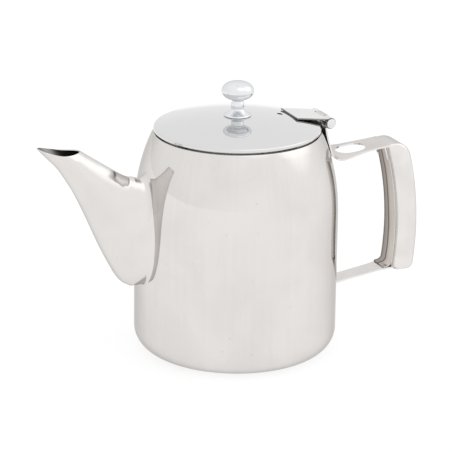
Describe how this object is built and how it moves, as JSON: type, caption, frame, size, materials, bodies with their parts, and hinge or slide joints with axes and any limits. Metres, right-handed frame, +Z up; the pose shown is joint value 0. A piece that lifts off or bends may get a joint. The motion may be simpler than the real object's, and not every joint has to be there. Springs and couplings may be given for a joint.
{
  "type": "teapot",
  "caption": "Steel teapot with a slanting welded spout, a hinged domed lid with a ball knob, and a hollow handle on two flat straps.",
  "frame": {"origin": "centre of the flat base, on the surface that the pot stands on", "axes": "+Z up along the body's axis, +X towards the handle and the hinge, the spout along -X, symmetric about Y = 0"},
  "size_m": [0.2742, 0.1384, 0.1868],
  "materials": {
    "body_steel": "polished stainless steel with faint vertical polishing marks",
    "lid_steel": "mirror polished stainless steel",
    "handle_steel": "polished stainless steel",
    "knob_chrome": "bright chrome plate",
    "hinge_steel": "polished stainless steel",
    "inner_steel": "plain drawn stainless steel"
  },
  "bodies": {
    "pot": {"pot_body": "body_steel", "spout": "body_steel", "handle_strap": "handle_steel", "handle_grip": "handle_steel", "grip_inner_plate": "handle_steel", "handle_lower_arm": "handle_steel", "hinge_pin": "hinge_steel"},
    "lid": {"lid": "lid_steel", "lid_locating_ring": "inner_steel", "lid_hinge_leaf": "hinge_steel", "knob": "knob_chrome", "knob_screw": "inner_steel", "knob_washer": "inner_steel"}
  },
  "joints": [
    {"name": "lid_hinge", "type": "hinge", "parent": "pot", "child": "lid", "pos_m": [0.0628, 0, 0.1546], "axis": [0, 1, 0], "range_deg": [0, 105]}
  ]
}
